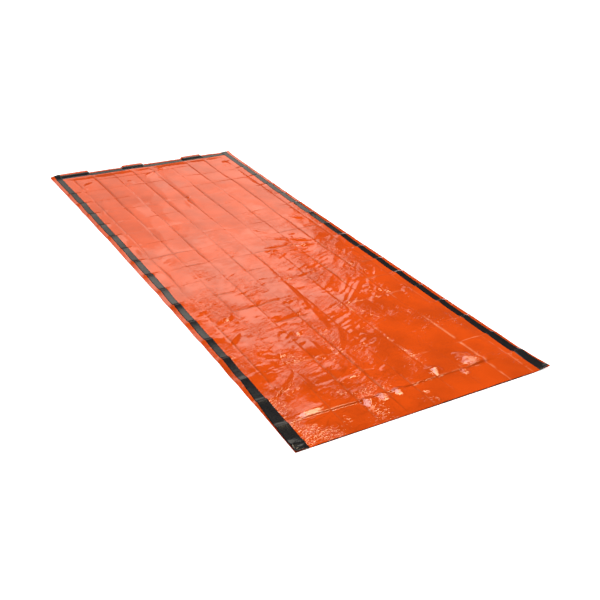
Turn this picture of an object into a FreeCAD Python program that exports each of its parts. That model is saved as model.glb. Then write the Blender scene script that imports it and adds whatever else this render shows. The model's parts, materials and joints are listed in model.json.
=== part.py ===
import FreeCAD, Part
import os

from FreeCAD import Vector

# An emergency bivy sack, laid out flat and empty, in millimetres. Two film panels lie
# one over the other and are joined along both long sides and the foot; the third short
# edge is the open mouth. +X runs across the sack, +Y from the mouth to the foot, +Z up.
# The origin is the middle of the underside, on the surface that the sack lies on.
#
# The layers are drawn thicker than the real film, so that each one is a solid piece.
# In the seam they lie flat on each other: under tape, lower film, lower lining,
# adhesive, upper lining, upper film, upper tape. Inboard of the seam the upper panel
# rises over the hollow, and the lower panel drops by the under tape's thickness.

# The sack as it lies.
SACK_WIDTH = 870.0
SACK_LENGTH = 2130.0
SACK_HEIGHT = 12.0

# The seam.
RIM = 16.0  # film outboard of the tape
TAPE_WIDTH = 25.0
ADHESIVE_WIDTH = 20.0
SEAM_WIDTH = 44.0  # flat stretch that the tape and adhesive lie in
UPPER_SLOPE = 60.0  # level run in which the upper panel reaches its full height
LOWER_SLOPE = 5.0  # the same for the lower panel's small drop

# Thicknesses.
FILM = 0.5
LINING = 0.3
ADHESIVE = 0.4
TAPE = 0.3

# The crease near the mouth, where the mouth end folds over the sack.
MOUTH_END_LENGTH = 108.0
CREASE_GAP = 0.4  # between the two sides of the crease

# Edges and the crease.
SIDE = SACK_WIDTH / 2
FOOT = SACK_LENGTH / 2
MOUTH = -FOOT
CREASE = MOUTH + MOUTH_END_LENGTH
BODY_START = CREASE + CREASE_GAP / 2
MOUTH_END_STOP = CREASE - CREASE_GAP / 2

# Undersides of the layers, in the seam and over the middle of the sack.
LOWER_FILM_SEAM = TAPE
LOWER_FILM_MIDDLE = 0.0
LOWER_LINING_SEAM = LOWER_FILM_SEAM + FILM
LOWER_LINING_MIDDLE = LOWER_FILM_MIDDLE + FILM
ADHESIVE_BASE = LOWER_LINING_SEAM + LINING
UPPER_LINING_SEAM = ADHESIVE_BASE + ADHESIVE
UPPER_FILM_SEAM = UPPER_LINING_SEAM + LINING
UPPER_TAPE_BASE = UPPER_FILM_SEAM + FILM
UPPER_FILM_MIDDLE = SACK_HEIGHT - FILM
UPPER_LINING_MIDDLE = UPPER_FILM_MIDDLE - LINING


def face(points):
    """A flat face through the points, in order."""
    return Part.Face(Part.makePolygon([*points, points[0]]))


def solid(faces):
    """A closed solid from the flat faces round it."""
    shape = Part.makeSolid(Part.makeShell(faces)).removeSplitter()
    if shape.Volume < 0:
        shape.reverse()
    return shape


def ring(inset, height, start, stop, has_foot):
    """The four corners of a U at one inset from the sack's sides, at one height.

    With a foot, the U's closed end is set in as far as its sides. Without one, the
    U is a strip that runs straight from start to stop.
    """
    x = SIDE - inset
    end = stop - inset if has_foot else stop
    return [
        Vector(-x, start, height),
        Vector(-x, end, height),
        Vector(x, end, height),
        Vector(x, start, height),
    ]


def skin(rings, has_foot):
    """The faces of one side of a panel: a band from each ring to the next, then the middle."""
    faces = []
    for outer, inner in zip(rings, rings[1:]):
        faces.append(face([outer[0], outer[1], inner[1], inner[0]]))
        faces.append(face([outer[2], outer[3], inner[3], inner[2]]))
        if has_foot:
            faces.append(face([outer[1], outer[2], inner[2], inner[1]]))
    faces.append(face(rings[-1]))
    return faces


def end_wall(below, above, left, right):
    """The wall across a panel's whole width, where it starts or stops.

    Each ring gives the wall its corner on the left side and its corner on the right.
    """
    lower_line = [r[left] for r in below] + [r[right] for r in reversed(below)]
    upper_line = [r[left] for r in above] + [r[right] for r in reversed(above)]
    return face(lower_line + upper_line[::-1])


def panel(seam_height, middle_height, slope, thickness, start, stop, has_foot):
    """One layer of a panel: flat in the seam, sloping to the middle's own height."""
    insets = [0.0, SEAM_WIDTH, SEAM_WIDTH + slope]
    heights = [seam_height, seam_height, middle_height]
    below = [ring(i, h, start, stop, has_foot) for i, h in zip(insets, heights)]
    lift = Vector(0, 0, thickness)
    above = [[corner + lift for corner in r] for r in below]
    faces = skin(below, has_foot) + skin(above, has_foot)
    for a, b in ((0, 1), (2, 3)):
        faces.append(face([below[0][a], below[0][b], above[0][b], above[0][a]]))
    faces.append(end_wall(below, above, 0, 3))
    if has_foot:
        faces.append(face([below[0][1], below[0][2], above[0][2], above[0][1]]))
    else:
        faces.append(end_wall(below, above, 1, 2))
    return solid(faces)


def side_strip(side, width, thickness, base, start, stop):
    """A strip in a side seam, on the middle line of the tape. side is -1 or 1."""
    middle = side * (SIDE - RIM - TAPE_WIDTH / 2)
    return Part.makeBox(
        width, stop - start, thickness, Vector(middle - width / 2, start, base)
    )


def foot_strip(width, thickness, base):
    """A strip in the foot seam, butted between the strips of the two side seams."""
    middle = FOOT - RIM - TAPE_WIDTH / 2
    reach = SIDE - RIM - TAPE_WIDTH / 2 - width / 2
    return Part.makeBox(
        2 * reach, width, thickness, Vector(-reach, middle - width / 2, base)
    )


# The full-width layers: seam underside, middle underside, slope, thickness.
PANELS = {
    "lower_film": (LOWER_FILM_SEAM, LOWER_FILM_MIDDLE, LOWER_SLOPE, FILM),
    "lower_lining": (LOWER_LINING_SEAM, LOWER_LINING_MIDDLE, LOWER_SLOPE, LINING),
    "upper_lining": (UPPER_LINING_SEAM, UPPER_LINING_MIDDLE, UPPER_SLOPE, LINING),
    "upper_film": (UPPER_FILM_SEAM, UPPER_FILM_MIDDLE, UPPER_SLOPE, FILM),
}

# The strips in the seams: width, thickness, underside.
STRIPS = {
    "under_tape": (TAPE_WIDTH, TAPE, 0.0),
    "seam_adhesive": (ADHESIVE_WIDTH, ADHESIVE, ADHESIVE_BASE),
    "upper_tape": (TAPE_WIDTH, TAPE, UPPER_TAPE_BASE),
}

SIDES = {"left": -1, "right": 1}


def sub_parts():
    """Every separate piece, by name. A name that ends in mouth_end is past the crease."""
    parts = {}
    for name, layer in PANELS.items():
        parts[name] = panel(*layer, BODY_START, FOOT, True)
        parts[name + "_mouth_end"] = panel(*layer, MOUTH, MOUTH_END_STOP, False)
    for name, strip in STRIPS.items():
        parts["foot_" + name] = foot_strip(*strip)
        for word, side in SIDES.items():
            node = word + "_" + name
            parts[node] = side_strip(side, *strip, BODY_START, FOOT - RIM)
            parts[node + "_mouth_end"] = side_strip(side, *strip, MOUTH, MOUTH_END_STOP)
    return parts


os.makedirs("parts", exist_ok=True)
for node, shape in sub_parts().items():
    shape.exportStep("parts/" + node + ".step")
    print(node, shape.isValid(), shape.ShapeType, round(shape.Volume), "mm3")
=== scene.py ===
import json
import math

import bpy
import numpy as np
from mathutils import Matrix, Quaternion, Vector
from mathutils.geometry import delaunay_2d_cdt


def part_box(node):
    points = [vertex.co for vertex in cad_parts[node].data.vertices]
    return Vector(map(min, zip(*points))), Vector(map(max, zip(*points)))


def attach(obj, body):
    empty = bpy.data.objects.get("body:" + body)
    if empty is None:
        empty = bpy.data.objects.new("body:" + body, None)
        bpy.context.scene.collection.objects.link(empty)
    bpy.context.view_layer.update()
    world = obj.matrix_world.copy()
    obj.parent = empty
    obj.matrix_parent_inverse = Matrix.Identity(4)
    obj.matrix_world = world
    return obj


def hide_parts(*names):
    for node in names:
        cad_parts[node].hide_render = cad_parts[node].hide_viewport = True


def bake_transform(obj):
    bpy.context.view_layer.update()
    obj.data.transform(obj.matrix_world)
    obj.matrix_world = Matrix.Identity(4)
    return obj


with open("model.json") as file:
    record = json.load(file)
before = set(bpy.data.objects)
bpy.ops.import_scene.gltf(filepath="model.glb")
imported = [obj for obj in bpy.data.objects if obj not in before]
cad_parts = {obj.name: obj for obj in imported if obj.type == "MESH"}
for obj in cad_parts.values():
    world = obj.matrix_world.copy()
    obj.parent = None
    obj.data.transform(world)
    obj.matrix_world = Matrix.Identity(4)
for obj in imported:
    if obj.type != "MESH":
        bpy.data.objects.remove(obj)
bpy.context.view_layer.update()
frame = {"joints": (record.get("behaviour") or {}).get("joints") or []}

MM = 0.001

# ---------------------------------------------------------------- places, from the frame
# +X runs across the sack, +Y from the mouth to the foot, +Z up.
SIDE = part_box("upper_film")[1].x
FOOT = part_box("upper_film")[1].y
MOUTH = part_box("upper_film_mouth_end")[0].y
HINGE = Vector(next(j for j in frame["joints"] if j["name"] == "mouth_fold")["pos_m"])
CREASE = HINGE.y
TAPE_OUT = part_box("right_upper_tape")[1].x
TAPE_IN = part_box("right_upper_tape")[0].x
RIM = SIDE - TAPE_OUT
SEAM = SIDE - TAPE_IN

# ---------------------------------------------------------------- the folds of the pack
LONG_PITCH = 90 * MM
LONG_ZERO = 8 * MM
LONG_CREASES = [LONG_ZERO + LONG_PITCH * k for k in range(-4, 5)]
CROSS_PITCH = 119.5 * MM
CROSS_CREASES = [CREASE + CROSS_PITCH * j for j in range(17)]

# ---------------------------------------------------------------- the stack of layers
# Heights in the seam over the surface below, and of the loose upper panel inboard.
UNDER_TAPE_Z = 0.05 * MM
TAPE_THICKNESS = 0.3 * MM
ADHESIVE_THICKNESS = 0.6 * MM
LOWER_FILM_Z = 0.5 * MM
LOWER_LINING_Z = 0.8 * MM
ADHESIVE_Z = 1.0 * MM
UPPER_LINING_Z = 2.0 * MM
UPPER_FILM_Z = 2.3 * MM
TAPE_GAP = 0.15 * MM  # from the upper film to the tape on it
LINING_DROP = UPPER_FILM_Z - UPPER_LINING_Z
LOFT = 4.0 * MM  # how much higher the loose upper panel lies than its seam


# ---------------------------------------------------------------- number fields
def smooth(t):
    """0 below 0, 1 above 1, and an S between."""
    t = np.clip(t, 0, 1)
    return t * t * (3 - 2 * t)


def ramp(value, low, high):
    return smooth((value - low) / (high - low))


def noise(x, y, size_x, size_y, seed):
    """Smooth noise from -1 to 1 whose bumps are size_x by size_y metres."""
    rng = np.random.RandomState(seed)
    table = rng.uniform(-1, 1, (64, 64))
    u, v = x / size_x + 31.7, y / size_y + 17.3
    i, j = np.floor(u).astype(int), np.floor(v).astype(int)
    a, b = smooth(u - i), smooth(v - j)
    p, q = table[i % 64, j % 64], table[(i + 1) % 64, j % 64]
    r, s = table[i % 64, (j + 1) % 64], table[(i + 1) % 64, (j + 1) % 64]
    return (p * (1 - a) + q * a) * (1 - b) + (r * (1 - a) + s * a) * b


def facets(xs, ys, pitch, seed, stretch=1.0, peaky=1.0, turn=0.0):
    """Flat triangular facets with sharp edges over the grid xs by ys, from -1 to 1.

    The corners of the facets are jittered points about pitch apart, and stretch times
    that along a line turn degrees from +Y towards +X. A higher peaky leaves fewer high
    corners.
    """
    rng = np.random.RandomState(seed)
    reach = math.hypot(xs[-1] - xs[0], ys[-1] - ys[0]) / 2 + 2 * pitch * stretch
    px, py = np.meshgrid(
        np.arange(-reach, reach, pitch), np.arange(-reach, reach, pitch * stretch)
    )
    px = px.ravel() + rng.uniform(-0.48, 0.48, px.size) * pitch
    py = py.ravel() + rng.uniform(-0.48, 0.48, py.size) * pitch * stretch
    sine, cosine = math.sin(math.radians(turn)), math.cos(math.radians(turn))
    px, py = px * cosine + py * sine, py * cosine - px * sine
    inside = (np.abs(px) < xs[-1] + 3 * pitch * stretch) & (np.abs(py) < ys[-1] + 3 * pitch * stretch)
    px, py = px[inside], py[inside]
    height = rng.uniform(-1, 1, px.size)
    height = np.sign(height) * np.abs(height) ** peaky
    points = [Vector((a, b)) for a, b in zip(px, py)]
    out, _, triangles, origin, _, _ = delaunay_2d_cdt(points, [], [], 0, 1e-6)
    cx = np.array([p.x for p in out])
    cy = np.array([p.y for p in out])
    ch = np.array([height[o[0]] for o in origin])
    field = np.zeros((len(ys), len(xs)))
    for a, b, c in triangles:
        x3, y3, h3 = cx[[a, b, c]], cy[[a, b, c]], ch[[a, b, c]]
        i0, i1 = np.searchsorted(xs, x3.min()), np.searchsorted(xs, x3.max(), "right")
        j0, j1 = np.searchsorted(ys, y3.min()), np.searchsorted(ys, y3.max(), "right")
        if i0 == i1 or j0 == j1:
            continue
        det = (y3[1] - y3[2]) * (x3[0] - x3[2]) + (x3[2] - x3[1]) * (y3[0] - y3[2])
        if abs(det) < 1e-12:
            continue
        gx2, gy2 = xs[i0:i1][None, :] - x3[2], ys[j0:j1][:, None] - y3[2]
        l0 = ((y3[1] - y3[2]) * gx2 + (x3[2] - x3[1]) * gy2) / det
        l1 = ((y3[2] - y3[0]) * gx2 + (x3[0] - x3[2]) * gy2) / det
        l2 = 1 - l0 - l1
        inside = (l0 >= -1e-9) & (l1 >= -1e-9) & (l2 >= -1e-9)
        patch = l0 * h3[0] + l1 * h3[1] + l2 * h3[2]
        view = field[j0:j1, i0:i1]
        view[inside] = patch[inside]
    return field


# ---------------------------------------------------------------- the grid of the panels
def graded(stops, pitch, pull):
    """Places from the first stop to the last, about pitch(place) apart, closer at the stops."""
    places = [stops[0]]
    for a, b in zip(stops, stops[1:]):
        count = max(1, round((b - a) / pitch((a + b) / 2)))
        t = np.arange(1, count + 1) / count
        if count > 5:
            t = t - pull * np.sin(2 * np.pi * t) / (2 * np.pi)
        places.extend(a + (b - a) * t)
    return np.array(places)


def stops_across():
    edges = [-SIDE, -TAPE_OUT, -TAPE_IN, TAPE_IN, TAPE_OUT, SIDE]
    return sorted(edges + LONG_CREASES)


def stops_along():
    return sorted([MOUTH, *CROSS_CREASES, FOOT - SEAM, FOOT - RIM, FOOT])


# Where each strip's end at the foot stands up, as across place and lift, in mm.
FOOT_LIFT = (
    (-435, 3), (-398, 9), (-268, 10), (-260, 1), (-150, 2), (-112, 1), (-104, 8), (-12, 8),
    (-4, 1), (100, 1), (180, 1), (188, 8), (278, 9), (286, 2), (340, 3), (368, 1), (435, 4),
)

# The wrinkles of the upper panel, each a long tent. In mm: across and along
# of its one end, across and along of its other end, its height, and its reach to the
# left and to the right of the line between them.
WRINKLES = (
    # the ridge beside the mouth crease
    (290, -958, 208, -900, 7.4, 34, 22), (262, -930, 216, -876, 6.4, 26, 18),
    (205, -965, 178, -962, 4.5, 26, 12),
    (138, -934, 88, -907, 7.6, 36, 16), (-18, -966, -66, -953, 6.1, 30, 12),
    (-70, -968, -118, -955, 6.1, 30, 12), (-122, -970, -170, -957, 6.1, 30, 12),
    (-258, -938, -382, -941, 3.6, 16, 30), (104, -1022, 74, -1026, 2.6, 16, 12),
    (58, -1008, 6, -990, 1.4, 8, 8), (335, -935, 268, -952, 2.5, 10, 16),
    # the big fold down the middle, and the fan that runs into it
    (-20, -430, -44, -610, 3.0, 22, 40), (-2, -588, -72, -716, 3.8, 17, 42),
    (-70, -714, -82, -905, 2.6, 22, 12),
    (152, -618, -4, -718, 1.9, 7, 19), (128, -668, -20, -768, 1.7, 7, 17),
    (108, -700, -30, -793, 1.7, 7, 17), (84, -730, -40, -814, 1.6, 7, 16),
    (60, -757, -48, -830, 1.5, 7, 16), (30, -790, -50, -850, 1.4, 7, 15),
    # the buckles beside the left seam
    (-130, -620, -140, -740, 3.8, 14, 38), (-262, -752, -372, -846, 5.0, 14, 36),
    (-258, -756, -256, -888, 4.2, 12, 34), (-300, -548, -304, -668, 3.6, 12, 34),
    (-268, -366, -348, -412, 3.0, 24, 20), (-300, -480, -366, -540, 2.4, 18, 14),
    (-276, -640, -330, -700, 2.0, 9, 9),
    # the lines that run from the right seam towards the middle
    (384, -8, 286, -122, 3.4, 24, 26), (372, -138, 214, -262, 2.8, 15, 17),
    (344, -62, 202, -226, 2.4, 14, 16), (332, -202, 228, -332, 2.8, 12, 16),
    (302, -332, 198, -472, 2.6, 13, 15), (252, -352, 108, -482, 2.6, 12, 16),
    (376, -262, 300, -372, 2.2, 12, 14), (196, -262, 96, -352, 2.6, 16, 14),
    (160, -402, 40, -520, 2.2, 10, 14), (380, -420, 318, -560, 2.4, 18, 20),
    (352, -110, 262, -214, 1.7, 6, 13), (318, -150, 232, -262, 1.6, 6, 12),
    (296, -226, 214, -330, 1.7, 6, 13), (262, -256, 176, -352, 1.5, 6, 12),
    (232, -300, 150, -400, 1.6, 6, 13), (342, -262, 272, -352, 1.5, 6, 12),
    (206, -362, 132, -442, 1.5, 6, 12), (286, -402, 222, -482, 1.4, 6, 12),
    (176, -446, 104, -530, 1.5, 6, 12),
    # the arcs across the middle strips
    (276, -4, 196, 52, 2.4, 14, 16), (200, 50, 126, 84, 2.2, 14, 14),
    (256, -26, 152, 8, 2.4, 11, 13), (158, 8, 58, 22, 2.2, 11, 12),
    (238, -48, 62, -22, 2.4, 11, 13), (216, -72, 44, -46, 2.2, 10, 12),
    (192, -94, 30, -76, 2.0, 10, 12), (-6, -235, -26, -440, 3.4, 22, 34),
    (150, 128, 90, 204, 1.6, 12, 12), (345, 205, 300, 235, 2.4, 14, 14),
    # the nick in the middle crease, and the pulls at the foot
    (30, 616, 2, 590, 3.4, 9, 10), (-4, 588, -18, 470, 1.5, 12, 14),
    (104, 1002, 20, 958, 2.0, 14, 14), (22, 962, -62, 902, 2.0, 12, 14),
    (-130, 890, -180, 830, 1.8, 30, 26), (392, 960, 330, 880, 2.6, 34, 30),
    (-300, 760, -370, 560, 1.4, 26, 26), (-290, 930, -368, 850, 2.0, 30, 26),
)


# Where the film is crushed into small facets that glint: across, along and reach, in mm.
CRUSHED = (
    (290, -280, 45), (250, -430, 60), (365, -465, 35), (180, -20, 45), (90, -40, 45),
    (-290, -670, 42), (-345, -820, 35), (-290, -410, 35), (60, -670, 45), (-50, -410, 40),
    (-160, -560, 40), (210, 60, 35), (100, -500, 40), (-100, -700, 35), (330, -150, 45),
)


class Relief:
    """Heights of the sack's layers over a grid of rest places."""

    def __init__(self, xs, ys):
        self.xs, self.ys = xs, ys
        self.x, self.y = np.meshgrid(xs, ys)
        x, y = self.x, self.y
        self.inset = np.minimum(SIDE - np.abs(x), FOOT - y)
        self.inner = ramp(self.inset, SEAM - 4 * MM, SEAM + 50 * MM)
        # 1 in the crumpled part by the mouth and the right side, small in the smooth part.
        diagonal = (0.24 - y) * 0.8 + x * 0.9
        self.crumple = 0.14 + 0.86 * ramp(diagonal, -0.2, 0.42)
        self.crumple *= 0.75 + 0.45 * noise(x, y, 0.13, 0.16, 5)
        self.lift = self.foot_lift() + self.edge_lift()
        self.upper = self.lift + UPPER_FILM_Z * self.droop() + self.inner * self.loose()

    def droop(self):
        """The rim outside the tape falls to the lower film at its edge."""
        return 0.65 + 0.35 * ramp(self.inset, 0, RIM)

    def foot_lift(self):
        knots = np.array(FOOT_LIFT) * MM
        lift = np.interp(self.x, knots[:, 0], knots[:, 1])
        rise = (self.y - (FOOT - SEAM - 8 * MM)) / (SEAM - RIM + 8 * MM)
        return lift * np.clip(rise, 0, 1.15) ** 1.3

    def edge_lift(self):
        """The stiff seam stands on its kinks at the crosswise creases, and one corner curls."""
        x, y = self.x, self.y
        corner = np.exp(-(((x - SIDE) / 0.035) ** 2 + ((y - MOUTH) / 0.05) ** 2))
        wave = (0.5 + 0.5 * noise(x, y, 0.08, 0.09, 11)) * (1 - self.inner)
        stiffness = 0.25 + 0.75 * ramp(SIDE - np.abs(x), 0, RIM)
        return 5.5 * MM * corner + 0.6 * MM * wave + self.seam_kinks() * stiffness

    def seam_kinks(self):
        side = np.where(self.x < 0, 0, 1)
        height = np.zeros_like(self.y)
        for j, place in enumerate(CROSS_CREASES[:-1]):
            size = (3.8 + 0.9 * np.sin(2.4 * j + 1.7 * side)) * MM
            past = self.y - place
            far_side = np.clip(1 - past / (15 * MM), 0, 1)
            near_side = np.exp(np.minimum(past, 0) / (30 * MM))
            height = np.maximum(height, size * np.where(past > 0, far_side, near_side))
        edge = np.minimum(SIDE - np.abs(self.x), SEAM + 40 * MM) / (SEAM + 40 * MM)
        return height * (1 - ramp(edge, 0.5, 1)) * ramp(FOOT - self.y, 0, 0.06)

    def groove(self, past):
        """A crease as a steep wall before its line and a long slope after it."""
        past = -past
        wall = np.clip(1 - past / (6 * MM), 0, 1)
        slope = np.clip(1 + past / (32 * MM), 0, 1)
        return -np.where(past > 0, wall, slope**2)

    def long_creases(self):
        """Each lengthwise crease is a narrow groove, sharper in one stretch than the next."""
        total = np.zeros_like(self.x)
        for k, place in enumerate(LONG_CREASES):
            size = 1.0 + 0.5 * noise(self.x, self.y, 9.0, 0.22, 90 + k)
            total += size * self.groove(self.x - place)
        return total

    def cross_creases(self):
        total = np.zeros_like(self.x)
        for j, place in enumerate(CROSS_CREASES):
            size = 0.9 + 1.1 * noise(self.x, self.y, 0.09, 9.0, 40 + j)
            total += np.clip(size, 0.1, 2) * self.groove(self.y - place)
        return total

    def blocks(self):
        """Flat panes between the creases, each tilted its own way."""
        rng = np.random.RandomState(8)
        xs = np.array([-SIDE, *LONG_CREASES, SIDE])
        ys = np.array([MOUTH, *CROSS_CREASES, FOOT])
        corner = rng.uniform(-1, 1, (len(ys), len(xs)))
        corner += 0.8 * (-1.0) ** np.arange(len(xs))[None, :]
        i = np.clip(np.searchsorted(xs, self.x, "right") - 1, 0, len(xs) - 2)
        j = np.clip(np.searchsorted(ys, self.y, "right") - 1, 0, len(ys) - 2)
        a = (self.x - xs[i]) / (xs[i + 1] - xs[i])
        b = (self.y - ys[j]) / (ys[j + 1] - ys[j])
        low = corner[j, i] * (1 - a) + corner[j, i + 1] * a
        high = corner[j + 1, i] * (1 - a) + corner[j + 1, i + 1] * a
        return low * (1 - b) + high * b

    def tent(self, x0, y0, x1, y1, height, left, right):
        """A crest from one end to the other, falling flat to left and right of it."""
        length = math.hypot(x1 - x0, y1 - y0)
        reach = max(left, right)
        i0, i1 = np.searchsorted(self.xs, [min(x0, x1) - reach, max(x0, x1) + reach])
        j0, j1 = np.searchsorted(self.ys, [min(y0, y1) - reach, max(y0, y1) + reach])
        window = (slice(j0, j1), slice(i0, i1))
        x, y = self.x[window] - x0, self.y[window] - y0
        ux, uy = (x1 - x0) / length, (y1 - y0) / length
        along = (x * ux + y * uy) / length
        aside = y * ux - x * uy
        side = np.where(aside > 0, left, right)
        taper = np.where((along > 0) & (along < 1), 1 - np.abs(2 * along - 1) ** 2.2, 0)
        width = side * (0.12 + 0.88 * taper)
        return window, height * taper * np.clip(1 - np.abs(aside) / width, 0, 1)

    def wrinkles(self):
        total = np.zeros_like(self.x)
        for row in np.array(WRINKLES) * MM:
            window, tent = self.tent(*row)
            total[window] = np.maximum(total[window], tent)
        return total

    def creasing(self, count, seed):
        """Small seeded wrinkles in clusters, some raised and some sunk, mostly crosswise."""
        rng = np.random.RandomState(seed)
        total = np.zeros_like(self.x)
        bunches = ramp(noise(self.x, self.y, 0.11, 0.14, 63), -0.2, 0.6)
        clusters = self.crumple**2.5 * (0.35 + 1.1 * bunches)
        for x, y, spread, length, height, left, right, chance in rng.uniform(0, 1, (count, 8)):
            x, y = (2 * x - 1) * SIDE, MOUTH + y * (FOOT - MOUTH)
            i = min(np.searchsorted(self.xs, x), len(self.xs) - 1)
            j = min(np.searchsorted(self.ys, y), len(self.ys) - 1)
            if chance > clusters[j, i]:
                continue
            turn = math.radians(68 + 40 * float(noise(x, y, 0.2, 0.25, 61)) + 60 * (spread - 0.5))
            dx, dy = math.sin(turn), math.cos(turn)
            half = (12 + 42 * length**2) * MM
            size = (0.3 + 1.0 * height**2) * MM * (1 if chance * 50 % 1 < 0.65 else -1)
            window, tent = self.tent(
                x - dx * half, y - dy * half, x + dx * half, y + dy * half,
                size, (4 + 6 * left) * MM, (4 + 6 * right) * MM,
            )
            total[window] += tent
        return total

    def ridges(self, turn, across, along, seed):
        """A network of winding sharp crests, drawn out along a line turned from +Y to +X."""
        sine, cosine = math.sin(math.radians(turn)), math.cos(math.radians(turn))
        sway = 0.5 * across * noise(self.x, self.y, 2.2 * across, 2.2 * across, seed + 1)
        u = self.x * cosine - self.y * sine + sway
        v = self.x * sine + self.y * cosine
        return 1 - 2.4 * np.abs(noise(u, v, across, along, seed))

    def winding_lines(self):
        """Thin winding creases over the crumpled part, from 0 to 1."""
        patches = ramp(noise(self.x, self.y, 0.09, 0.12, 64), -0.4, 0.4)
        crests = np.maximum(
            self.ridges(70, 19 * MM, 62 * MM, 71), self.ridges(84, 12 * MM, 36 * MM, 74)
        )
        return self.crumple * (0.3 + 0.7 * patches) * ramp(crests, 0.7, 1)

    def crushed(self):
        """Where the film is crushed small, from 0 to 1."""
        total = np.zeros_like(self.x)
        for x, y, reach in np.array(CRUSHED) * MM:
            far = np.hypot(self.x - x, (self.y - y) * 0.8) / reach
            total = np.maximum(total, np.exp(-(far**2)))
        return total * ramp(noise(self.x, self.y, 0.03, 0.03, 66), -0.5, 0.3)

    def mouth_step(self):
        """The crease beside the mouth is a sharp step, the far side over the near side."""
        past = self.y - CREASE
        height = (3.0 + 1.0 * noise(self.x, self.y, 0.12, 9.0, 22)) * MM
        step = np.clip((past + 4 * MM) / (4.5 * MM), 0, 1) * np.exp(-np.maximum(past, 0) / (160 * MM))
        return height * step * ramp(0.36 - self.x, 0, 0.1)

    def loose(self):
        x, y = self.x, self.y
        folds = self.wrinkles()
        calm = 1 - 0.8 * ramp(folds, 0, 1.2 * MM)
        flap = ramp(y, CREASE + 5 * MM, CREASE + 90 * MM)
        c = self.crumple * calm * (0.32 + 0.68 * flap)
        # By the left seam near the mouth the film buckles in large plain facets.
        buckled = np.exp(-(((x + 0.29) / 0.13) ** 2) - ((y + 0.77) / 0.2) ** 2)
        c = c * (1 - 0.65 * buckled)
        patches = 0.4 + 0.8 * ramp(noise(x, y, 0.09, 0.12, 64), -0.3, 0.5)
        z = LOFT + 2.6 * MM * noise(x, y, 0.24, 0.35, 1)
        z = z + MM * calm * (2.1 - 0.9 * c) * noise(x, y, 0.1, 0.12, 2)
        z = z + MM * calm * (0.6 + 0.5 * c) * self.blocks()
        z = z + MM * (1.6 - 0.7 * c) * self.long_creases()
        z = z + MM * calm * (0.55 + 0.4 * c) * self.cross_creases()
        z = z + 1.5 * MM * c * facets(self.xs, self.ys, 50 * MM, 3, 1.5, 1.0, 50)
        z = z + 2.8 * MM * calm * buckled * facets(self.xs, self.ys, 58 * MM, 9, 1.4, 0.8, 60)
        z = z + 1.1 * MM * c**1.2 * facets(self.xs, self.ys, 23 * MM, 4, 1.9, 1.4, 68)
        z = z + 0.4 * MM * c**2 * facets(self.xs, self.ys, 12 * MM, 6, 1.6, 1.6, 75)
        z = z + 0.75 * MM * c * patches * self.ridges(70, 19 * MM, 62 * MM, 71)
        z = z + 0.45 * MM * c * patches * self.ridges(84, 12 * MM, 36 * MM, 74)
        z = z + 3.4 * MM * self.crushed() * facets(self.xs, self.ys, 10 * MM, 7, 1.3, 0.8, 60)
        z = z + 1.25 * folds + calm * (0.3 + 0.7 * flap) * self.creasing(3600, 12)
        z = z * (0.45 + 0.55 * ramp(y, MOUTH, MOUTH + 110 * MM)) + self.mouth_step()
        return np.maximum(z, 0.6 * MM)

    def plan(self, x, y):
        """Where a rest place lies in plan: the sides draw in a little between the ends."""
        draw = 0.983 + 0.022 * (y / FOOT) ** 2
        edge = 1.2 * MM * noise(x, y, 0.5, 0.06, 31)
        wander = 3.0 * MM * noise(x, y, 0.2, 0.17, 32) * ramp(self.inset, 0.02, 0.1)
        px = x * draw + np.sign(x) * edge * (np.abs(x) / SIDE) ** 4 + wander
        py = y + 3.0 * MM * noise(x, y, 0.12, 0.2, 33) * ramp(np.minimum(self.inset, y - MOUTH), 0, 0.05)
        return px, py


# ---------------------------------------------------------------- meshes
def mesh_object(name, points, quads):
    mesh = bpy.data.meshes.new(name)
    mesh.vertices.add(len(points))
    mesh.vertices.foreach_set("co", points.astype(np.float32).ravel())
    mesh.loops.add(4 * len(quads))
    mesh.loops.foreach_set("vertex_index", quads.astype(np.int32).ravel())
    mesh.polygons.add(len(quads))
    mesh.polygons.foreach_set("loop_start", np.arange(0, 4 * len(quads), 4, dtype=np.int32))
    mesh.polygons.foreach_set("use_smooth", np.ones(len(quads), bool))
    mesh.update(calc_edges=True)
    mesh.validate()
    obj = bpy.data.objects.new(name, mesh)
    bpy.context.scene.collection.objects.link(obj)
    return obj


def grid_quads(rows, columns):
    index = np.arange(rows * columns).reshape(rows, columns)
    return np.stack(
        [index[:-1, :-1], index[:-1, 1:], index[1:, 1:], index[1:, :-1]], -1
    ).reshape(-1, 4)


def sheet(name, relief, z):
    """One layer of film as a single surface over the relief's grid."""
    px, py = relief.plan(relief.x, relief.y)
    points = np.stack([px, py, z], -1).reshape(-1, 3)
    return mesh_object(name, points, grid_quads(*relief.x.shape))


def add_value(obj, name, values):
    layer = obj.data.attributes.new(name, "FLOAT", "POINT")
    layer.data.foreach_set("value", values.astype(np.float32).ravel())


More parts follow.
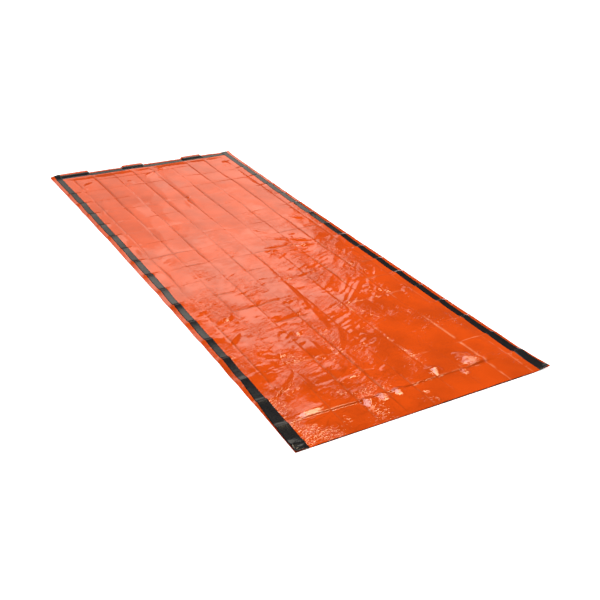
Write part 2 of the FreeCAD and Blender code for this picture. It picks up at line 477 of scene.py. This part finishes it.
def strip(name, relief, z, thickness, columns, rows, flare=0):
    """A closed tape or adhesive strip over some columns and rows of the relief's grid.

    At a mouth corner its outer edge flares out past the rim.
    """
    px, py = relief.plan(relief.x, relief.y)
    outward = ramp(np.abs(relief.x), TAPE_IN, TAPE_OUT) * ramp(MOUTH + 400 * MM - relief.y, 0, 0.35)
    px = px + flare * np.sign(relief.x) * outward
    z = z + 0.1 * flare * outward**2
    px, py, z = px[rows, columns], py[rows, columns], z[rows, columns]
    count = px.shape
    top = np.stack([px, py, z + thickness], -1).reshape(-1, 3)
    low = np.stack([px, py, z], -1).reshape(-1, 3)
    quads = grid_quads(*count)
    size = count[0] * count[1]
    index = np.arange(size).reshape(count)
    border = np.concatenate(
        [index[0, :-1], index[:-1, -1], index[-1, :0:-1], index[:0:-1, 0]]
    )
    after = np.roll(border, -1)
    walls = np.stack([border + size, after + size, after, border], -1)
    return mesh_object(
        name, np.concatenate([top, low]), np.concatenate([quads, quads[:, ::-1] + size, walls])
    )


# ---------------------------------------------------------------- materials
def new_material(name):
    material = bpy.data.materials.new(name)
    material.use_nodes = True
    tree = material.node_tree
    return material, tree, tree.nodes["Principled BSDF"]


def node(tree, kind, inputs=(), **settings):
    made = tree.nodes.new(kind)
    for key, value in settings.items():
        setattr(made, key, value)
    for key, value in dict(inputs).items():
        if isinstance(value, bpy.types.NodeSocket):
            tree.links.new(value, made.inputs[key])
        else:
            made.inputs[key].default_value = value
    return made


def film_material(name, colour, sheen_colour, roughness):
    """Glossy creased film: fine crinkles over the relief, a painted pale reflection along the creases,
    painted shade in the folds, and a rim painted darker towards its edge.
    """
    material, tree, shader = new_material(name)
    place = node(tree, "ShaderNodeTexCoord").outputs["Object"]
    crumple = node(tree, "ShaderNodeAttribute", attribute_name="crumple").outputs["Fac"]
    crease = node(tree, "ShaderNodeAttribute", attribute_name="crease").outputs["Fac"]
    blotch = node(tree, "ShaderNodeTexNoise", {"Vector": place, "Scale": 7.0, "Detail": 3.0})
    mottle = node(
        tree, "ShaderNodeMapRange", {"Value": blotch.outputs["Fac"], "From Min": 0.36, "From Max": 0.6}
    )
    tint = node(
        tree, "ShaderNodeMix",
        {0: mottle.outputs[0], 6: [c * 0.82 for c in colour[:3]] + [1], 7: colour},
        data_type="RGBA",
    )
    # Painted reflection: along the creases the film is painted paler, in the colour it has where it
    # mirrors the pale screens.
    crease_sheened = node(
        tree, "ShaderNodeMix", {0: crease, 6: tint.outputs[2], 7: sheen_colour}, data_type="RGBA"
    )
    # Painted shade: the film is painted darker deep in its folds and along the step by the mouth crease;
    # the rim outside the tape is painted darker towards its edge.
    rim = node(tree, "ShaderNodeAttribute", attribute_name="rim").outputs["Fac"]
    fold = node(tree, "ShaderNodeAttribute", attribute_name="fold").outputs["Fac"]
    shade_and_rim = node(tree, "ShaderNodeMath", {0: rim, 1: fold}, operation="MAXIMUM").outputs[0]
    darkened_base = node(
        tree, "ShaderNodeMix",
        {0: shade_and_rim, 6: crease_sheened.outputs[2], 7: [c * 0.55 for c in colour[:3]] + [1]},
        data_type="RGBA",
    )
    tree.links.new(darkened_base.outputs[2], shader.inputs["Base Color"])
    # Where the painted shade lies the film also reflects less.
    shine = node(tree, "ShaderNodeMapRange", {"Value": fold, "To Min": 0.5, "To Max": 0.12})
    tree.links.new(shine.outputs[0], shader.inputs["Specular IOR Level"])
    # Fine wrinkles are creases where a smooth noise changes sign, in patches, drawn out
    # nearly crosswise.
    drawn = node(
        tree, "ShaderNodeMapping",
        {"Vector": place, "Rotation": (0, 0, math.radians(14)), "Scale": (0.03, 0.0095, 0.0095)},
        vector_type="TEXTURE",
    )
    fold_noise = node(
        tree, "ShaderNodeTexNoise",
        {"Vector": drawn.outputs[0], "Scale": 1.0, "Detail": 2.0, "Roughness": 0.55},
    )
    centred = node(tree, "ShaderNodeMath", {0: fold_noise.outputs["Fac"], 1: 0.5}, operation="SUBTRACT")
    folded = node(tree, "ShaderNodeMath", {0: centred.outputs[0]}, operation="ABSOLUTE")
    patch = node(tree, "ShaderNodeTexNoise", {"Vector": place, "Scale": 9.0, "Detail": 3.0})
    patchy = node(
        tree, "ShaderNodeMapRange",
        {"Value": patch.outputs["Fac"], "From Min": 0.46, "From Max": 0.6, "To Min": 0.2},
    )
    amount = node(
        tree, "ShaderNodeMath", {0: patchy.outputs[0], 1: crumple}, operation="MULTIPLY"
    )
    fine = node(
        tree, "ShaderNodeBump",
        {"Strength": amount.outputs[0], "Distance": 0.005, "Height": folded.outputs[0]},
    )
    tree.links.new(fine.outputs[0], shader.inputs["Normal"])
    gloss = node(
        tree, "ShaderNodeMapRange",
        {"Value": blotch.outputs["Fac"], "To Min": roughness * 0.8, "To Max": roughness * 1.3},
    )
    tree.links.new(gloss.outputs[0], shader.inputs["Roughness"])
    shader.inputs["IOR"].default_value = 1.5
    return material


def tape_material():
    material, tree, shader = new_material("black_tape")
    place = node(tree, "ShaderNodeTexCoord").outputs["Object"]
    grain = node(tree, "ShaderNodeTexNoise", {"Vector": place, "Scale": 90.0, "Detail": 4.0})
    tint = node(
        tree, "ShaderNodeMix",
        {0: grain.outputs["Fac"], 6: (0.006, 0.006, 0.007, 1), 7: (0.02, 0.02, 0.022, 1)},
        data_type="RGBA",
    )
    tree.links.new(tint.outputs[2], shader.inputs["Base Color"])
    bump = node(
        tree, "ShaderNodeBump",
        {"Strength": 0.3, "Distance": 0.001, "Height": grain.outputs["Fac"]},
    )
    tree.links.new(bump.outputs[0], shader.inputs["Normal"])
    shader.inputs["Roughness"].default_value = 0.17
    shader.inputs["Specular IOR Level"].default_value = 0.33
    return material


def lining_material():
    material, tree, shader = new_material("silver_lining")
    place = node(tree, "ShaderNodeTexCoord").outputs["Object"]
    cloud = node(tree, "ShaderNodeTexNoise", {"Vector": place, "Scale": 30.0, "Detail": 4.0})
    tint = node(
        tree, "ShaderNodeMix",
        {0: cloud.outputs["Fac"], 6: (0.55, 0.55, 0.57, 1), 7: (0.8, 0.8, 0.82, 1)},
        data_type="RGBA",
    )
    tree.links.new(tint.outputs[2], shader.inputs["Base Color"])
    bump = node(
        tree, "ShaderNodeBump",
        {"Strength": 0.5, "Distance": 0.001, "Height": cloud.outputs["Fac"]},
    )
    tree.links.new(bump.outputs[0], shader.inputs["Normal"])
    shader.inputs["Metallic"].default_value = 1.0
    shader.inputs["Roughness"].default_value = 0.25
    return material


def adhesive_material():
    material, tree, shader = new_material("clear_adhesive")
    place = node(tree, "ShaderNodeTexCoord").outputs["Object"]
    cloud = node(tree, "ShaderNodeTexNoise", {"Vector": place, "Scale": 60.0, "Detail": 3.0})
    tint = node(
        tree, "ShaderNodeMix",
        {0: cloud.outputs["Fac"], 6: (0.6, 0.56, 0.46, 1), 7: (0.75, 0.72, 0.64, 1)},
        data_type="RGBA",
    )
    tree.links.new(tint.outputs[2], shader.inputs["Base Color"])
    shader.inputs["Roughness"].default_value = 0.5
    return material


def bend_at_crease(obj, node_name):
    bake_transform(obj)
    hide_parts(node_name, node_name + "_mouth_end")


def crease_sheen(relief):
    """How much pale sheen is painted along the creases of the pack, from 0 to 1: a painted reflection.
    """
    lines = np.maximum(0.6 * relief.cross_creases() ** 4, relief.long_creases() ** 4)
    spots = ramp(noise(relief.x, relief.y, 0.02, 0.02, 51), -0.7, 0.8)
    return relief.inner * spots * relief.crumple * np.clip(lines - 0.3, 0, 1)


def crease_shade(relief):
    """How deep in a fold the film lies, from 0 to 1: the light hardly reaches it there."""
    # Where the creases are painted pale, in the crumpled part by the mouth and the right side, their
    # painted shade fades.
    pale_crease_part = ramp(relief.x, -0.05, 0.15) * ramp(-relief.y, 0.2, 0.45)
    crosswise = 0.15 + 0.85 * ramp(0.42 - relief.y, 0, 0.25) * ramp(relief.y + 0.75, 0, 0.3)
    lines = np.maximum(-relief.long_creases(), -0.8 * crosswise * relief.cross_creases())
    lines = np.maximum(np.clip(lines, 0, 1) ** 5, 0.75 * relief.winding_lines())
    lines = (1 - 0.85 * pale_crease_part) * lines
    past = (relief.y - CREASE) / (3.5 * MM)
    step = np.exp(-((past + 0.4) ** 2)) * ramp(0.33 - relief.x, 0, 0.1)
    return relief.inner * np.clip(np.maximum(0.7 * lines, 0.8 * step), 0, 1)


def build_films(materials):
    xs = graded(stops_across(), lambda place: 4.1 * MM, 0.45)
    ys = graded(stops_along(), lambda place: (4.3 if place < 0.2 else 6) * MM, 0.45)
    fine = Relief(xs, ys)
    top = sheet("upper_film_panel", fine, fine.upper)
    top.data.materials.append(materials["film"])
    add_value(top, "crumple", fine.crumple)
    # Painted reflection along the creases in the crumpled part.
    add_value(top, "crease", crease_sheen(fine))
    # Painted shade in the folds; the rim below is painted darker towards its edge.
    add_value(top, "fold", crease_shade(fine))
    add_value(top, "rim", 0.35 - 0.35 * ramp(fine.inset, RIM * 0.5, RIM + 3 * MM))
    lining = sheet("upper_lining_panel", fine, fine.upper - LINING_DROP)
    lining.data.materials.append(materials["lining"])
    coarse = Relief(
        graded(stops_across(), lambda place: 9 * MM, 0.3),
        graded(stops_along(), lambda place: 9 * MM, 0.3),
    )
    low = sheet("lower_film_panel", coarse, coarse.lift + LOWER_FILM_Z)
    low.data.materials.append(materials["film"])
    add_value(low, "crumple", coarse.crumple * 0.5)
    add_value(low, "crease", coarse.crumple * 0)
    inside = sheet("lower_lining_panel", coarse, coarse.lift + LOWER_LINING_Z)
    inside.data.materials.append(materials["lining"])
    bend_at_crease(top, "upper_film")
    bend_at_crease(low, "lower_film")
    bend_at_crease(lining, "upper_lining")
    bend_at_crease(inside, "lower_lining")
    return fine


def bunched(relief):
    """The left tape is crinkled and gathered at its mouth end, and the right one curls up."""
    x, y = relief.x, relief.y
    curl = 6 * MM * ramp(x, TAPE_OUT - 22 * MM, TAPE_OUT) * ramp(MOUTH + 26 * MM - y, 0, 0.026)
    crinkles = 0.5 + 0.5 * facets(relief.xs, relief.ys, 7 * MM, 17, 1.0, 0.8)
    return curl + 5 * MM * crinkles * ramp(MOUTH + 50 * MM - y, 0, 0.02) * (x < 0)


def tape_columns(xs, side):
    """The grid's columns between the tape's edges on one side."""
    low, high = sorted((side * TAPE_OUT, side * TAPE_IN))
    chosen = np.where((xs >= low - 1e-6) & (xs <= high + 1e-6))[0]
    return slice(chosen[0], chosen[-1] + 1)


FLARE = {"left": 15 * MM, "right": 7 * MM}  # how far the upper tapes spread at the mouth


def build_seams(fine, materials):
    xs, ys = fine.xs, fine.ys
    all_rows = slice(0, np.searchsorted(ys, FOOT - RIM + 1e-6))
    foot_rows = slice(np.searchsorted(ys, FOOT - SEAM - 1e-6), all_rows.stop)
    middle = slice(np.searchsorted(xs, -TAPE_IN - 1e-6), np.searchsorted(xs, TAPE_IN + 1e-6))
    upper_tape_z = fine.upper + TAPE_GAP + bunched(fine)
    adhesive_z = fine.lift + ADHESIVE_Z
    under_tape_z = fine.lift + UNDER_TAPE_Z
    layers = {
        "upper_tape": (upper_tape_z, TAPE_THICKNESS, "tape", "black_tape"),
        "seam_adhesive": (adhesive_z, ADHESIVE_THICKNESS, "adhesive", "clear_adhesive"),
        "under_tape": (under_tape_z, TAPE_THICKNESS, "tape", "black_tape"),
    }
    for layer, (z, thickness, material, slot) in layers.items():
        for word, side in (("left", -1), ("right", 1)):
            node_name = word + "_" + layer
            rows = slice(0, len(ys)) if layer == "upper_tape" else all_rows
            flare = FLARE[word] if layer == "upper_tape" else 0
            columns = tape_columns(xs, side)
            obj = strip(node_name + "_run", fine, z, thickness, columns, rows, flare)
            obj.data.materials.append(materials[material])
            bend_at_crease(obj, node_name)
        obj = strip("foot_" + layer + "_run", fine, z, thickness, middle, foot_rows)
        obj.data.materials.append(materials[material])
        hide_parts("foot_" + layer)
        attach(obj, "sack_body")


# ---------------------------------------------------------------- stage
def area_light(name, place, aim, size, size_y, radiance, colour=(1, 1, 1)):
    light = bpy.data.lights.new(name, "AREA")
    light.shape = "RECTANGLE"
    light.size, light.size_y = size, size_y
    light.energy = radiance * math.pi * size * size_y
    light.color = colour
    obj = bpy.data.objects.new(name, light)
    obj.visible_camera = False
    obj.location = place
    obj.rotation_mode = "QUATERNION"
    obj.rotation_quaternion = (Vector(aim) - Vector(place)).to_track_quat("-Z", "Y")
    bpy.context.scene.collection.objects.link(obj)


def build_stage():
    mesh = bpy.data.meshes.new("floor")
    reach = 60.0
    mesh.from_pydata(
        [(-reach, -reach, 0), (reach, -reach, 0), (reach, reach, 0), (-reach, reach, 0)],
        [], [(0, 1, 2, 3)],
    )
    floor = bpy.data.objects.new("floor", mesh)
    bpy.context.scene.collection.objects.link(floor)
    material, tree, shader = new_material("floor")
    shader.inputs["Base Color"].default_value = (0.92, 0.92, 0.92, 1)
    shader.inputs["Roughness"].default_value = 0.9
    shader.inputs["Specular IOR Level"].default_value = 0.1
    shader.inputs["Emission Color"].default_value = (1, 1, 1, 1)
    shader.inputs["Emission Strength"].default_value = 0.8
    mesh.materials.append(material)
    world = bpy.data.worlds.new("world")
    world.use_nodes = True
    # The backdrop is pale, and the room behind the lights is dark.
    tree = world.node_tree
    seen = node(tree, "ShaderNodeLightPath").outputs["Is Camera Ray"]
    strength = node(tree, "ShaderNodeMapRange", {"Value": seen, "To Min": 0.05, "To Max": 1.0})
    tree.links.new(strength.outputs[0], tree.nodes["Background"].inputs["Strength"])
    tree.nodes["Background"].inputs["Color"].default_value = (1, 1, 1, 1)
    bpy.context.scene.world = world
    # A large softbox overhead, a small warm lamp beyond the right side, three overlapping
    # screens beyond the foot that the film mirrors, one behind the camera, and one on
    # each side for the views from there.
    area_light("softbox", (0.2, 0.5, 6.0), (0, 0, 0), 3.4, 3.4, 8.6)
    area_light("lamp", (2.7, 1.4, 5.5), (0, -0.7, 0), 1.6, 1.6, 14.0, (1, 0.82, 0.5))
    screen_low, screen_high = 1.45, 4.5
    middle, tall = (screen_low + screen_high) / 2, screen_high - screen_low
    warm_white = (1, 0.95, 0.84)
    area_light("screen", (2.04, 5.6, middle), (2.04, 0, middle), 3.93, tall, 0.82, warm_white)
    area_light("screen_edge", (2.9, 5.58, middle), (2.9, 0, middle), 2.2, tall, 0.35, warm_white)
    area_light("screen_top", (2.5, 5.56, 3.75), (2.5, 0, 3.75), 3.0, 1.5, 0.95, warm_white)
    area_light("back_screen", (1.5, -7.0, 4.0), (0, 0, 2.0), 7.0, 4.0, 1.0)
    area_light("left_screen", (-7.0, 0.5, 2.6), (0, 0.5, 2.6), 5.0, 2.6, 0.6)
    area_light("right_screen", (7.0, -0.5, 2.6), (0, -0.5, 2.6), 5.0, 2.6, 0.6)


def build_camera():
    """At the level and side that the sack is seen from, with a slight tilt of the frame."""
    azimuth, elevation = math.radians(-30.204), math.radians(28.6)
    roll = math.radians(2.0)
    distance = 2.8478
    target = Vector((-0.0918, -0.3419, 0))
    back = Vector(
        (
            math.sin(azimuth) * math.cos(elevation),
            -math.cos(azimuth) * math.cos(elevation),
            math.sin(elevation),
        )
    )
    data = bpy.data.cameras.new("camera")
    data.lens = 51.32
    data.sensor_width = 36
    data.shift_x = 1 / 24
    camera = bpy.data.objects.new("camera", data)
    camera.location = target + back * distance
    camera.rotation_mode = "QUATERNION"
    level = (-back).to_track_quat("-Z", "Y")
    camera.rotation_quaternion = level @ Quaternion((0, 0, 1), roll)
    bpy.context.scene.collection.objects.link(camera)
    bpy.context.scene.camera = camera
    bpy.context.scene.view_settings.view_transform = "Standard"


MATERIALS = {
    "film": film_material("orange_film", (0.8, 0.086, 0.004, 1), (0.95, 0.25, 0.1, 1), 0.022),
    "lining": lining_material(),
    "tape": tape_material(),
    "adhesive": adhesive_material(),
}
build_camera()
build_stage()
relief = build_films(MATERIALS)
build_seams(relief, MATERIALS)
